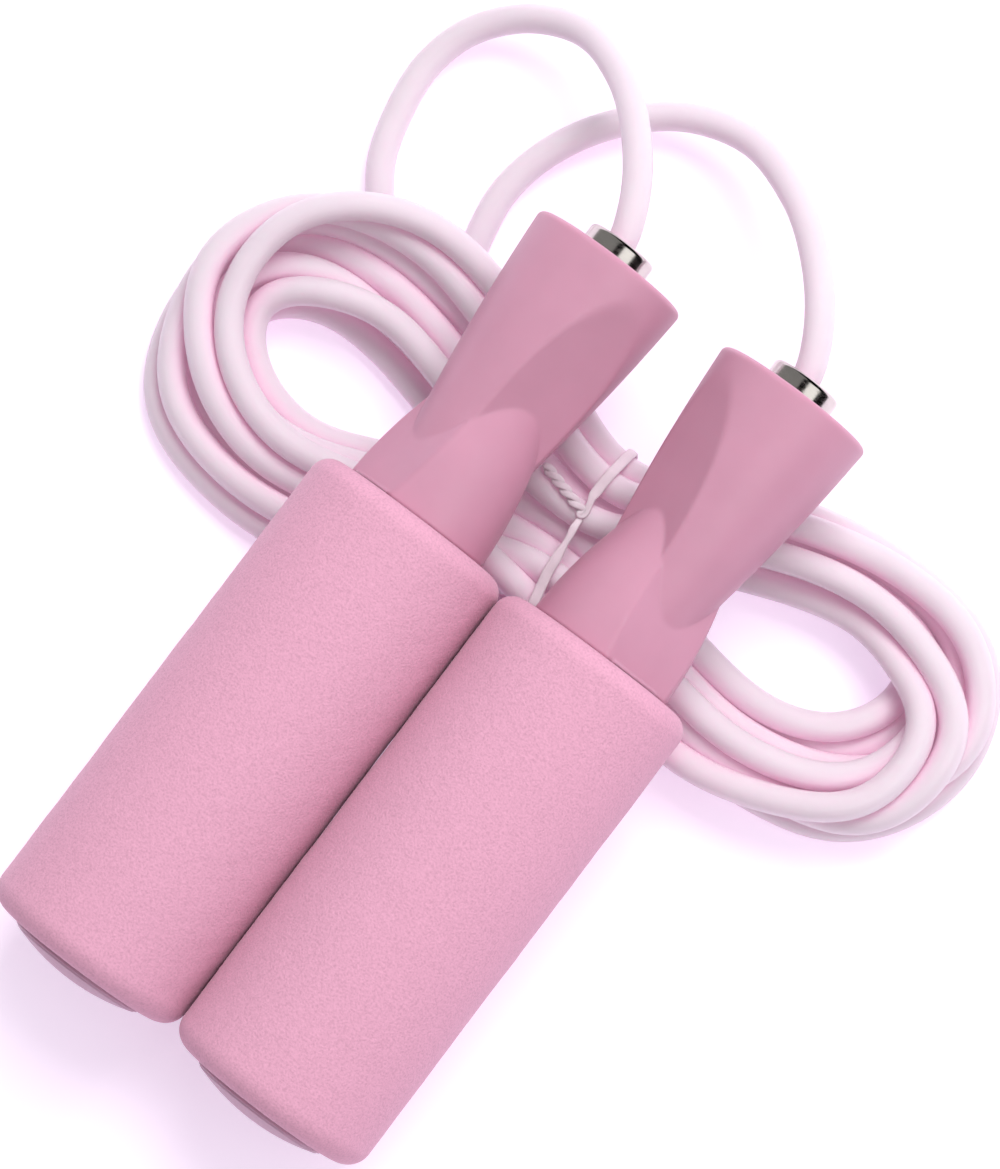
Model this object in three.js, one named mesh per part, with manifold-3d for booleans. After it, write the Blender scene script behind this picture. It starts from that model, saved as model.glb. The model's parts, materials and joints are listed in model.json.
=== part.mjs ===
// Jump rope, put away: two foam-gripped handles side by side across the middle of a tied hank
// of rope. Each handle turns on a small ball bearing, and the rope ends in a crimped ferrule
// inside it. Millimetres. +Z is up, +Y runs along the handles towards the rope, and the origin
// is on the table under the middle of the pair of handles.
import * as THREE from "three";
import { mergeVertices } from "three/addons/utils/BufferGeometryUtils.js";
import Module from "manifold-3d";

const wasm = await Module();
wasm.setup();

// ---------- Driving dimensions ----------
const GAP = 0.3; // left between pieces that touch

const ROPE_R = 2.5;

// A handle's own frame: Y runs along its axis, from 0 at the grip's open end.
const GRIP_R = 18.5;
const GRIP_LENGTH = 90;
const GRIP_ROUNDING = 4;
const CORE_R = 12.5; // plastic tube inside the grip
const CORE_BORE_R = 10;
const NECK_LENGTH = 52.5;
const WAIST_Y = GRIP_LENGTH + 18; // narrowest place of the neck
const NECK_TOP_Y = GRIP_LENGTH + NECK_LENGTH;
const RIM_ROUNDING = 1;
const PASSAGE_R = 4.6; // rope passage through the waist

// The neck is two bodies that meet at the waist. Each has two round petals with two flats
// between them, and the lower body is turned a quarter turn. A radius at a height h from the
// waist is waist + slope * h + curve * h * h.
const UPPER_PETAL = { waist: 10.6, slope: 0.155, curve: -0.0014 };
const UPPER_FLAT = { waist: 7.7, slope: 0.13, curve: 0.0028 };
const LOWER_PETAL = { waist: 10.6, slope: 0.266, curve: -0.0069 };
const LOWER_FLAT = { waist: 7.7, slope: 0.235, curve: -0.0027 };
const PETAL_OVERRUN = 9; // how far a petal runs past the waist, into the other body

const CAP_R = 12.2;
const CAP_RIM = 0.8;
const CAP_DOME = 2.1;
const CAP_WALL = 1.2;
const SPIGOT_R = CORE_BORE_R - GAP;
const SPIGOT_WALL = 1.5;
const SPIGOT_LENGTH = 14;

const RACE_R = 6.15;
const RACE_PROUD = 3.5; // how far the bearing stands out of the neck
const RACE_SEAT_DEPTH = 5;
const RACE_ROUNDING = 0.8;
const RACE_TRACK_R = 5.2;
const RACE_LIP_R = 4.5;
const RACE_LIP = 0.6;
const RING_BORE_R = 3.4;
const RING_TRACK_R = 4.2;
const RING_RECESS = 0.3; // the inner ring ends this far inside the outer race
const BALL_R = 0.7;
const BALL_PITCH_R = 4.7;
const BALL_COUNT = 7;
const CAGE_WALL = 0.4;
const CAGE_LENGTH = 3.2;

const WASHER_R = 4.2;
const WASHER_THICKNESS = 0.8;
const FERRULE_R = 4.1;
const FERRULE_BORE_R = ROPE_R + GAP;
const FERRULE_LENGTH = 10;
const FERRULE_END = 1.2;

// How the pair lies. The grip's open end is on the table and the neck lies on the hank.
const HANDLE_SPACING = 37.4;
const HANDLE_TILT = THREE.MathUtils.degToRad(5);
const LEFT_TURN = THREE.MathUtils.degToRad(40); // turn of the neck's petals about its axis
const RIGHT_TURN = THREE.MathUtils.degToRad(-46.5);

const HANK_HEIGHT = 14;
const HANK_CLEARANCE = 0.6; // between the hank and a turning handle
const TIE_X = 1.5;
const TIE_WIDTH = 1.8;
const TIE_THICKNESS = 0.8;
const TIE_NEAR_Y = 17.5;
const TIE_FAR_Y = 51;
const TIE_TOP = HANK_HEIGHT + 0.6;
const TIE_ROUNDING = 4;
const TIE_TAIL_R = 0.95;

const ROPE_LEAN = 0.5; // how far the rope leans off the axis in the bearing's mouth

// ---------- Worked out from them ----------
const RACE_TOP_Y = NECK_TOP_Y + RACE_PROUD;
const RACE_BOTTOM_Y = NECK_TOP_Y - RACE_SEAT_DEPTH + GAP;
const BALL_Y = (RACE_TOP_Y + RACE_BOTTOM_Y) / 2;
const GROOVE_R = BALL_R + GAP;
const WASHER_TOP_Y = RACE_BOTTOM_Y - GAP;
const FERRULE_TOP_Y = WASHER_TOP_Y - WASHER_THICKNESS - GAP;
const ROPE_END_Y = FERRULE_TOP_Y - FERRULE_LENGTH + FERRULE_END + GAP;

const DOME_R = (CAP_R * CAP_R + CAP_DOME * CAP_DOME) / (2 * CAP_DOME);
const DOME_CENTRE_Y = DOME_R - CAP_RIM - CAP_DOME;

// The open end's rounding touches the table, and the handles' length is centred on the origin.
const HANDLE_LIFT = (GRIP_R - GRIP_ROUNDING) * Math.cos(HANDLE_TILT)
  + GRIP_ROUNDING * (1 - Math.sin(HANDLE_TILT));
const RACE_REACH = (RACE_TOP_Y - RACE_ROUNDING) * Math.cos(HANDLE_TILT)
  + (RACE_R - RACE_ROUNDING) * Math.sin(HANDLE_TILT) + RACE_ROUNDING;
const CAP_REACH = DOME_R - DOME_CENTRE_Y * Math.cos(HANDLE_TILT);
const HANDLE_BACK = (RACE_REACH - CAP_REACH) / 2;

// ---------- Geometry helpers ----------
const v2 = (x, y) => new THREE.Vector2(x, y);
const v3 = (x, y, z) => new THREE.Vector3(x, y, z);

// Points of a circular arc about (x, y), both ends included; angles in degrees.
function arc(x, y, radius, from, to, steps) {
  const points = [];
  for (let i = 0; i <= steps; i += 1) {
    const angle = THREE.MathUtils.degToRad(from + (to - from) * i / steps);
    points.push(v2(x + radius * Math.cos(angle), y + radius * Math.sin(angle)));
  }
  return points;
}

// A ring turned about Y from a closed profile, which is listed anticlockwise with x outwards.
function turnedRing(profile, segments) {
  return new THREE.LatheGeometry([...profile, profile[0]], segments);
}

// A solid turned about Y from a profile that starts and ends on the axis, bottom end first.
function turnedSolid(profile, segments) {
  return new THREE.LatheGeometry(profile, segments);
}

function toManifold(geometry) {
  const plain = geometry.clone();
  plain.deleteAttribute("normal");
  plain.deleteAttribute("uv");
  const merged = mergeVertices(plain, 1e-4);
  const vertProperties = new Float32Array(merged.attributes.position.array);
  const triVerts = new Uint32Array(merged.index.array);
  return new wasm.Manifold(new wasm.Mesh({ numProp: 3, vertProperties, triVerts }));
}

function toGeometry(manifold) {
  const mesh = manifold.getMesh();
  const geometry = new THREE.BufferGeometry();
  geometry.setAttribute("position", new THREE.BufferAttribute(mesh.vertProperties, mesh.numProp));
  geometry.setIndex(new THREE.BufferAttribute(mesh.triVerts, 1));
  return geometry;
}

function radiusAt(curve, height) {
  return curve.waist + curve.slope * height + curve.curve * height * height;
}

// ---------- Handle body ----------
// Everything outside a pair of opposite flats, for cutting them from a petal body. The flats
// face +Z and -Z. from and to are heights from the waist, away from the body's petal tips.
function flatCutters(curve, from, to) {
  const reach = 20;
  const steps = 8;
  const outline = [v2(reach, to), v2(reach, from)];
  for (let i = 0; i <= steps; i += 1) {
    const height = from + (to - from) * i / steps;
    outline.push(v2(radiusAt(curve, height), height));
  }
  const slab = new THREE.ExtrudeGeometry(new THREE.Shape(outline), {
    depth: 2 * reach,
    bevelEnabled: false,
  });
  slab.translate(0, 0, -reach);
  const front = slab.clone().rotateY(-Math.PI / 2);
  const back = slab.clone().rotateY(Math.PI / 2);
  return toManifold(front).add(toManifold(back));
}

function upperNeck() {
  const top = NECK_TOP_Y - WAIST_Y;
  const profile = [v2(0, -PETAL_OVERRUN)];
  const steps = 8;
  const straight = top - RIM_ROUNDING;
  for (let i = 0; i <= steps; i += 1) {
    const height = -PETAL_OVERRUN + (straight + PETAL_OVERRUN) * i / steps;
    profile.push(v2(radiusAt(UPPER_PETAL, height), height));
  }
  const rimRadius = radiusAt(UPPER_PETAL, straight);
  profile.push(...arc(rimRadius - RIM_ROUNDING, straight, RIM_ROUNDING, 30, 90, 2));
  profile.push(v2(0, top));
  const body = toManifold(turnedSolid(profile, 36));
  return body.subtract(flatCutters(UPPER_FLAT, -PETAL_OVERRUN - 1, top + 1));
}

function lowerNeck() {
  const foot = WAIST_Y - GRIP_LENGTH - GAP;
  const profile = [v2(0, -foot)];
  const steps = 6;
  for (let i = 0; i <= steps; i += 1) {
    const height = foot - (foot + PETAL_OVERRUN) * i / steps;
    profile.push(v2(radiusAt(LOWER_PETAL, height), -height));
  }
  profile.push(v2(0, PETAL_OVERRUN));
  const body = toManifold(turnedSolid(profile, 36));
  // The cutters are made pointing up, then turned over and a quarter turn round.
  const cutters = flatCutters(LOWER_FLAT, -PETAL_OVERRUN - 1, foot + 1);
  return body.subtract(cutters.rotate([180, 0, 0]).rotate([0, 90, 0]));
}

function handleBodyGeometry() {
  const core = turnedSolid([
    v2(0, GAP),
    v2(CORE_R, GAP),
    v2(CORE_R, GRIP_LENGTH + 2 * GAP),
    v2(0, GRIP_LENGTH + 2 * GAP),
  ], 32);
  const seatY = NECK_TOP_Y - RACE_SEAT_DEPTH;
  const bore = turnedSolid([
    v2(0, -1),
    v2(CORE_BORE_R, -1),
    v2(CORE_BORE_R, GRIP_LENGTH - 4),
    v2(PASSAGE_R, GRIP_LENGTH + 4),
    v2(PASSAGE_R, seatY),
    v2(RACE_R + GAP, seatY),
    v2(RACE_R + GAP, NECK_TOP_Y + 1),
    v2(0, NECK_TOP_Y + 1),
  ], 32);
  const neck = upperNeck().add(lowerNeck()).translate([0, WAIST_Y, 0]);
  return toGeometry(neck.add(toManifold(core)).subtract(toManifold(bore)));
}

// ---------- Grip and end cap ----------
function foamGripGeometry() {
  const inner = CORE_R + GAP;
  const edge = GRIP_R - GRIP_ROUNDING;
  return turnedRing([
    v2(inner, 0),
    ...arc(edge, GRIP_ROUNDING, GRIP_ROUNDING, -90, 0, 3),
    ...arc(edge, GRIP_LENGTH - GRIP_ROUNDING, GRIP_ROUNDING, 0, 90, 3),
    v2(inner, GRIP_LENGTH),
  ], 40);
}

function endCapGeometry() {
  const halfAngle = THREE.MathUtils.radToDeg(Math.asin(CAP_R / DOME_R));
  const dome = arc(0, DOME_CENTRE_Y, DOME_R, -90, -90 + halfAngle, 4);
  dome[0].x = 0;
  return turnedSolid([
    ...dome,
    v2(CAP_R, 0),
    v2(SPIGOT_R, 0),
    v2(SPIGOT_R, SPIGOT_LENGTH),
    v2(SPIGOT_R - SPIGOT_WALL, SPIGOT_LENGTH),
    v2(SPIGOT_R - SPIGOT_WALL, CAP_WALL),
    v2(0, CAP_WALL),
  ], 32);
}

// ---------- Bearing ----------
// The ball groove where it crosses a track of the given radius, as angles about the ball.
function grooveHalfAngle(trackRadius) {
  return THREE.MathUtils.radToDeg(Math.acos(Math.abs(trackRadius - BALL_PITCH_R) / GROOVE_R));
}

function outerRaceGeometry() {
  const half = grooveHalfAngle(RACE_TRACK_R);
  return turnedRing([
    v2(RACE_LIP_R, RACE_BOTTOM_Y),
    v2(RACE_R, RACE_BOTTOM_Y),
    ...arc(RACE_R - RACE_ROUNDING, RACE_TOP_Y - RACE_ROUNDING, RACE_ROUNDING, 0, 90, 2),
    v2(RACE_LIP_R, RACE_TOP_Y),
    v2(RACE_LIP_R, RACE_TOP_Y - RACE_LIP),
    v2(RACE_TRACK_R, RACE_TOP_Y - RACE_LIP),
    ...arc(BALL_PITCH_R, BALL_Y, GROOVE_R, half, -half, 4),
    v2(RACE_TRACK_R, RACE_BOTTOM_Y + RACE_LIP),
    v2(RACE_LIP_R, RACE_BOTTOM_Y + RACE_LIP),
  ], 24);
}

function innerRingGeometry() {
  const half = grooveHalfAngle(RING_TRACK_R);
  return turnedRing([
    v2(RING_BORE_R, RACE_BOTTOM_Y),
    v2(RING_TRACK_R, RACE_BOTTOM_Y),
    ...arc(BALL_PITCH_R, BALL_Y, GROOVE_R, 180 + half, 180 - half, 4),
    v2(RING_TRACK_R, RACE_TOP_Y - RING_RECESS),
    v2(RING_BORE_R, RACE_TOP_Y - RING_RECESS),
  ], 24);
}

function ballCageGeometry() {
  const inner = BALL_PITCH_R - CAGE_WALL / 2;
  const outer = BALL_PITCH_R + CAGE_WALL / 2;
  let cage = toManifold(turnedRing([
    v2(inner, BALL_Y - CAGE_LENGTH / 2),
    v2(outer, BALL_Y - CAGE_LENGTH / 2),
    v2(outer, BALL_Y + CAGE_LENGTH / 2),
    v2(inner, BALL_Y + CAGE_LENGTH / 2),
  ], 28));
  for (let i = 0; i < BALL_COUNT; i += 1) {
    const pocket = new THREE.CylinderGeometry(GROOVE_R, GROOVE_R, 2, 10);
    pocket.rotateX(Math.PI / 2);
    pocket.translate(0, BALL_Y, BALL_PITCH_R);
    pocket.rotateY(2 * Math.PI * i / BALL_COUNT);
    cage = cage.subtract(toManifold(pocket));
  }
  return toGeometry(cage);
}

function ballGeometry(index) {
  const ball = new THREE.IcosahedronGeometry(BALL_R, 1);
  ball.translate(0, BALL_Y, BALL_PITCH_R);
  ball.rotateY(2 * Math.PI * index / BALL_COUNT);
  return ball;
}

// ---------- Rope stop ----------
function stopWasherGeometry() {
  return turnedRing([
    v2(RING_BORE_R, WASHER_TOP_Y - WASHER_THICKNESS),
    v2(WASHER_R, WASHER_TOP_Y - WASHER_THICKNESS),
    v2(WASHER_R, WASHER_TOP_Y),
    v2(RING_BORE_R, WASHER_TOP_Y),
  ], 24);
}

// A cup that holds the rope's end, open towards the washer.
function ferruleGeometry() {
  const bottom = FERRULE_TOP_Y - FERRULE_LENGTH;
  return turnedSolid([
    v2(0, bottom),
    v2(FERRULE_R, bottom),
    v2(FERRULE_R, FERRULE_TOP_Y),
    v2(FERRULE_BORE_R, FERRULE_TOP_Y),
    v2(FERRULE_BORE_R, bottom + FERRULE_END),
    v2(0, bottom + FERRULE_END),
  ], 24);
}

// ---------- Rope ----------
// A point on a handle's axis, y along it from the grip's open end; side is -1 left, 1 right.
function axisPoint(side, y) {
  return v3(
    side * HANDLE_SPACING / 2,
    y * Math.cos(HANDLE_TILT) - HANDLE_BACK,
    y * Math.sin(HANDLE_TILT) + HANDLE_LIFT,
  );
}

// The hank's outline from above: it is pinched by the tie and opens into a loop on each side.
const HANK_OUTLINE = [
  v2(1.5, 50), v2(-25, 58), v2(-49, 63), v2(-70, 53), v2(-78.5, 34), v2(-70, 12), v2(-50, 2),
  v2(-26, 7), v2(1.5, 18.5), v2(24, 17), v2(46, 15.5), v2(67, 25), v2(76, 45), v2(68, 61),
  v2(49, 66.5), v2(24, 60),
];
const HANK_EYES = [
  { x: -47, y: 32, halfLength: 14.5, halfWidth: 9 },
  { x: 43, y: 41, halfLength: 12.5, halfWidth: 7.5 },
];

function hankGeometry() {
  const closed = HANK_OUTLINE.map((p) => v3(p.x, p.y, 0));
  const smooth = new THREE.CatmullRomCurve3(closed, true, "centripetal").getPoints(48);
  const outline = new THREE.Shape(smooth.slice(0, -1).map((p) => v2(p.x, p.y)));
  for (const eye of HANK_EYES) {
    const hole = new THREE.Path();
    hole.absellipse(eye.x, eye.y, eye.halfLength, eye.halfWidth, 0, 2 * Math.PI, true);
    outline.holes.push(new THREE.Path(hole.getPoints(16).slice(0, -1)));
  }
  const slab = new THREE.ExtrudeGeometry(outline, { depth: HANK_HEIGHT, bevelEnabled: false });
  let hank = toManifold(slab);
  for (const side of [-1, 1]) {
    hank = hank.subtract(turningHandle(side));
  }
  return toGeometry(hank.subtract(tieGroove()));
}

// The space that one handle sweeps as it turns, with clearance, where it lies on the hank.
function turningHandle(side) {
  const grip = GRIP_R + HANK_CLEARANCE;
  const rim = radiusAt(UPPER_PETAL, NECK_TOP_Y - WAIST_Y) + HANK_CLEARANCE;
  const swept = turnedSolid([
    v2(0, 0),
    v2(grip, 0),
    v2(grip, GRIP_LENGTH + HANK_CLEARANCE),
    v2(rim, GRIP_LENGTH + HANK_CLEARANCE),
    v2(rim, NECK_TOP_Y + HANK_CLEARANCE),
    v2(0, NECK_TOP_Y + HANK_CLEARANCE),
  ], 32);
  swept.rotateX(HANDLE_TILT);
  const base = axisPoint(side, 0);
  swept.translate(base.x, base.y, base.z);
  return toManifold(swept);
}

// The tie pulls the hank in all round, so it lies in a groove and the hank still lies flat.
function tieGroove() {
  const band = new THREE.BoxGeometry(TIE_WIDTH + 2 * GAP, 80, 80);
  band.translate(TIE_X, (TIE_NEAR_Y + TIE_FAR_Y) / 2, 0);
  const pinched = acrossTie(tieOutline(TIE_THICKNESS + GAP), TIE_WIDTH + 4 * GAP);
  return toManifold(band).subtract(toManifold(pinched));
}

// The leads' free routes, from just outside each bearing to where they go in under the hank.
const LEFT_LEAD_ROUTE = [
  v3(-20.3, 77.6, 31), v3(-23.6, 84, 30.2), v3(-29.5, 91.3, 27.4), v3(-38, 98.3, 21.5),
  v3(-48.5, 102.2, 14.5), v3(-59, 99.5, 8.5), v3(-66, 92.5, 4.8), v3(-68.4, 84, 3.2),
  v3(-67.4, 75, 2.7), v3(-64.6, 66.5, 2.6), v3(-60.2, 60.3, 2.6),
];
const RIGHT_LEAD_ROUTE = [
  v3(17.1, 77.6, 31), v3(13.4, 84.2, 29.8), v3(6.6, 92.2, 25.6), v3(-3, 99.8, 19),
  v3(-16, 104.6, 11.5), v3(-28.7, 101.7, 6.5), v3(-38.2, 93, 3.8), v3(-43.3, 82, 2.9),
  v3(-44.6, 73, 2.7), v3(-43.9, 63.5, 2.6),
];

// An eight-sided tube along a smooth route.
function roundTube(points, radius, steps) {
  const section = arc(0, 0, radius, 0, 315, 7);
  return new THREE.ExtrudeGeometry(new THREE.Shape(section), {
    steps,
    extrudePath: new THREE.CatmullRomCurve3(points, false, "centripetal"),
    bevelEnabled: false,
  });
}

function leadGeometry(side, route) {
  const mouth = axisPoint(side, RACE_TOP_Y);
  mouth.x -= ROPE_LEAN;
  const inside = [axisPoint(side, ROPE_END_Y), axisPoint(side, RACE_BOTTOM_Y), mouth];
  return roundTube([...inside, ...route], ROPE_R, 18);
}

// ---------- Twist tie ----------
// The tie's outline, seen along X with Y to the right, drawn in by an inset.
function tieOutline(inset) {
  const near = TIE_NEAR_Y + inset;
  const far = TIE_FAR_Y - inset;
  const top = TIE_TOP - inset;
  const radius = TIE_ROUNDING - inset;
  const points = [
    ...arc(far - radius, inset + radius, radius, -90, 0, 4),
    ...arc(far - radius, top - radius, radius, 0, 90, 4),
    ...arc(near + radius, top - radius, radius, 90, 180, 4),
    ...arc(near + radius, inset + radius, radius, 180, 270, 4),
  ];
  return new THREE.Shape(points);
}

// Extrudes an outline drawn in Y and Z along X, centred on the tie.
function acrossTie(shape, width) {
  const solid = new THREE.ExtrudeGeometry(shape, { depth: width, bevelEnabled: false });
  solid.applyMatrix4(new THREE.Matrix4().makeBasis(v3(0, 1, 0), v3(0, 0, 1), v3(1, 0, 0)));
  solid.translate(TIE_X - width / 2, 0, 0);
  return solid;
}

function tieLoopGeometry() {
  const outline = tieOutline(0);
  outline.holes.push(tieOutline(TIE_THICKNESS));
  return acrossTie(outline, TIE_WIDTH);
}

// The twisted ends of the tie, lying on the hank and running in under the left neck.
function tieTailGeometry() {
  const z = HANK_HEIGHT + GAP + TIE_TAIL_R;
  const start = v3(TIE_X - TIE_WIDTH / 2 - 1.5 * GAP, 37.5, z);
  return roundTube([start, v3(-4, 38.2, z), v3(-10.5, 40.5, z)], TIE_TAIL_R, 4);
}

// ---------- Materials ----------
function material(color, roughness, metalness) {
  return new THREE.MeshStandardMaterial({ color, roughness, metalness });
}

const FOAM = material(0xe6a9c3, 0.95, 0);
const PLASTIC = material(0xd69cb4, 0.45, 0);
const NICKEL = material(0xc9c6c1, 0.15, 1);
const STEEL = material(0xb5b7ba, 0.3, 1);
const NYLON = material(0xe9e4da, 0.5, 0);
const ROPE = material(0xf3e0ec, 0.4, 0);
const TIE = material(0xe9e0e4, 0.5, 0);

// ---------- Assembly ----------
function named(name, geometry, surface) {
  const mesh = new THREE.Mesh(geometry, surface.clone());
  mesh.name = name;
  return mesh;
}

function handle(name, side, turn) {
  const group = new THREE.Group();
  group.position.copy(axisPoint(side, 0));
  group.rotation.set(HANDLE_TILT, turn, 0);
  group.add(
    named(`${name}_handle_body`, handleBodyGeometry(), PLASTIC),
    named(`${name}_foam_grip`, foamGripGeometry(), FOAM),
    named(`${name}_end_cap`, endCapGeometry(), PLASTIC),
    named(`${name}_bearing_outer_race`, outerRaceGeometry(), NICKEL),
    named(`${name}_bearing_inner_ring`, innerRingGeometry(), NICKEL),
    named(`${name}_ball_cage`, ballCageGeometry(), NYLON),
    named(`${name}_stop_washer`, stopWasherGeometry(), STEEL),
    named(`${name}_rope_ferrule`, ferruleGeometry(), STEEL),
  );
  for (let i = 0; i < BALL_COUNT; i += 1) {
    group.add(named(`${name}_ball_${i + 1}`, ballGeometry(i), STEEL));
  }
  return group;
}

const jumpRope = new THREE.Group();
jumpRope.add(
  handle("left", -1, LEFT_TURN),
  handle("right", 1, RIGHT_TURN),
  named("rope_hank", hankGeometry(), ROPE),
  named("left_rope_lead", leadGeometry(-1, LEFT_LEAD_ROUTE), ROPE),
  named("right_rope_lead", leadGeometry(1, RIGHT_LEAD_ROUTE), ROPE),
  named("twist_tie_loop", tieLoopGeometry(), TIE),
  named("twist_tie_tail", tieTailGeometry(), TIE),
);

export default jumpRope;
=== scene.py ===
import json
import math

import bpy
import numpy as np
from mathutils import Matrix, Vector


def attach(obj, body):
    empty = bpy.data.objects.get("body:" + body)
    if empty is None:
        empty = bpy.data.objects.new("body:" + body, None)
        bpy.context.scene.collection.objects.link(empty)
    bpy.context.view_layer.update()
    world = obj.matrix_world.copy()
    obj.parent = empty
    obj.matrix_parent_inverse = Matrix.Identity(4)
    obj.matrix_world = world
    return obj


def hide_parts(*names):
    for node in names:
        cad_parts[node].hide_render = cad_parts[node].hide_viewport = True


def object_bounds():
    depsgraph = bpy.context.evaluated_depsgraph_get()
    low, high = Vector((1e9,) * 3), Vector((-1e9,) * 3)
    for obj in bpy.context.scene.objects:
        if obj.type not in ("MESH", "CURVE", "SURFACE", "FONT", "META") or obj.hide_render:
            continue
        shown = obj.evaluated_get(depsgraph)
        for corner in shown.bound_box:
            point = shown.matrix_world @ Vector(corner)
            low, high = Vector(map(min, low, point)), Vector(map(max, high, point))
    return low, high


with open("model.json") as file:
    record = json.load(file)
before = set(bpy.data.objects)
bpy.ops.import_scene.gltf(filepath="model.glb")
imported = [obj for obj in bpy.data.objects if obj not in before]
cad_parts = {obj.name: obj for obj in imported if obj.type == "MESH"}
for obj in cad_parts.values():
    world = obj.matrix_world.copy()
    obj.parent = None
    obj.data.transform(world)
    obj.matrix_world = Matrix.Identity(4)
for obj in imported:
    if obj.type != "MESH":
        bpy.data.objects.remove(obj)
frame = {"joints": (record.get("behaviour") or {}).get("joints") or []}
CAD_LOW, CAD_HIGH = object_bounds()

MM = 0.001
SIDES = {"left": -1, "right": 1}
TURNS = {"left": math.radians(40), "right": math.radians(-46.5)}

# ---------- Dimensions shared with the CAD ----------
# A handle's own frame: Y runs along its axis, from 0 at the grip's open end.
GRIP_R = 18.5 * MM
GRIP_LENGTH = 90 * MM
CORE_R = 12.5 * MM
CORE_BORE_R = 10 * MM
WAIST_Y = GRIP_LENGTH + 18 * MM
NECK_TOP_Y = GRIP_LENGTH + 52.5 * MM
PASSAGE_R = 4.6 * MM
BEARING_Y = 141.9 * MM
RACE_R = 6.15 * MM
RACE_BOTTOM_Y = NECK_TOP_Y - 4.7 * MM
RACE_TOP_Y = NECK_TOP_Y + 3.5 * MM
RACE_BORE_R = 4.5 * MM
RING_R = 4.2 * MM
RING_BORE_R = 3.4 * MM
ROPE_END_Y = 127.9 * MM
ROPE_LEAN = 0.5 * MM
CAP_R = 12.2 * MM
SPIGOT_R = 9.7 * MM
ROPE_D = 5 * MM
ROPE_R = ROPE_D / 2
FIT = 0.3 * MM  # between pieces that touch
BALLS = 7

# The neck's two bodies: radius = waist + slope * height + curve * height * height, where the
# height is away from the waist.
UPPER_PETAL = (10.6 * MM, 0.155, -0.0014 / MM)
UPPER_FLAT = (7.7 * MM, 0.13, 0.0028 / MM)
LOWER_PETAL = (10.6 * MM, 0.266, -0.0069 / MM)
LOWER_FLAT = (7.7 * MM, 0.235, -0.0027 / MM)

# The leads' routes, from just outside each bearing to where they go in under the hank.
LEFT_LEAD = [
    (-0.0203, 0.0776, 0.0310), (-0.0236, 0.0840, 0.0302), (-0.0295, 0.0913, 0.0274),
    (-0.0380, 0.0983, 0.0215), (-0.0485, 0.1022, 0.0145), (-0.0590, 0.0995, 0.0085),
    (-0.0660, 0.0925, 0.0048), (-0.0684, 0.0840, 0.0032), (-0.0674, 0.0750, 0.0027),
    (-0.0646, 0.0665, 0.0026), (-0.0602, 0.0603, 0.0026),
]
RIGHT_LEAD = [
    (0.0171, 0.0776, 0.0310), (0.0134, 0.0842, 0.0298), (0.0066, 0.0922, 0.0256),
    (-0.0030, 0.0998, 0.0190), (-0.0160, 0.1046, 0.0115), (-0.0287, 0.1017, 0.0065),
    (-0.0382, 0.0930, 0.0038), (-0.0433, 0.0830, 0.0029), (-0.0447, 0.0740, 0.0026),
    (-0.0430, 0.0640, 0.0026),
]


# ---------- The handles' frames, from the record's joints ----------
def handle_axis(name):
    """The direction of a handle's axis, and the point on it at the grip's open end."""
    for joint in frame["joints"]:
        if joint["name"] == f"{name}_handle_spin":
            direction = np.array(joint["axis"], float)
            direction /= np.linalg.norm(direction)
            return direction, np.array(joint["pos_m"], float) - direction * BEARING_Y
    raise ValueError(f"the record has no spin joint for the {name} handle")


AXES = {name: handle_axis(name) for name in SIDES}


def axis_point(name, y):
    direction, base = AXES[name]
    return base + direction * y


def rope_mouth(name):
    """Where the rope leaves a handle's bearing, leaning a little to the left."""
    mouth = axis_point(name, RACE_TOP_Y)
    mouth[0] -= ROPE_LEAN
    return mouth


def handle_matrix(name):
    """From a handle's own frame to the row frame."""
    direction, base = AXES[name]
    along = Vector(direction)
    across = Vector((1, 0, 0))
    up = across.cross(along)
    turned = Matrix((across, along, up)).transposed().to_4x4()
    return Matrix.Translation(Vector(base)) @ turned @ Matrix.Rotation(TURNS[name], 4, "Y")


def curve_at(curve, height):
    waist, slope, bend = curve
    return waist + slope * height + bend * height * height


# ---------- Meshes ----------
def mesh_object(name, points, faces, smooth=True):
    mesh = bpy.data.meshes.new(name)
    mesh.from_pydata([tuple(p) for p in points], [], faces)
    mesh.validate()
    if smooth:
        mesh.shade_smooth()
    else:
        mesh.shade_flat()
    piece = bpy.data.objects.new(name, mesh)
    bpy.context.scene.collection.objects.link(piece)
    return piece


def grid_object(name, grid, profile_closed):
    """A mesh from rows of points that go round an axis. A row whose points are all in one place
    becomes a single point."""
    one_place = 1e-9
    points, rows = [], []
    for row in grid:
        if np.ptp(row, axis=0).max() < one_place:
            rows.append([len(points)] * len(row))
            points.append(row[0])
        else:
            rows.append(list(range(len(points), len(points) + len(row))))
            points.extend(row)
    faces = []
    pairs = list(zip(rows, rows[1:]))
    if profile_closed:
        pairs.append((rows[-1], rows[0]))
    for low, high in pairs:
        for i in range(len(low)):
            k = (i + 1) % len(low)
            corners = list(dict.fromkeys([low[i], high[i], high[k], low[k]]))
            faces.append(corners)
    return mesh_object(name, points, faces)


def full_turn(segments):
    return np.arange(segments) * 2 * math.pi / segments


def ring(radius, y, angle):
    """A row of points round Y. The radius is one number, or one for each angle."""
    return np.stack([
        radius * np.sin(angle), np.full(len(angle), y), radius * np.cos(angle),
    ], axis=1)


def around(profile, segments):
    """Rows of points round Y from (radius, y) pairs."""
    angle = full_turn(segments)
    return np.array([ring(radius, y, angle) for radius, y in profile])


def corner(x, y, radius, start, end, steps=5):
    """Points of a rounded corner about (x, y), in degrees."""
    angles = np.radians(np.linspace(start, end, steps + 1))
    return [(x + radius * math.cos(a), y + radius * math.sin(a)) for a in angles]


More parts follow.
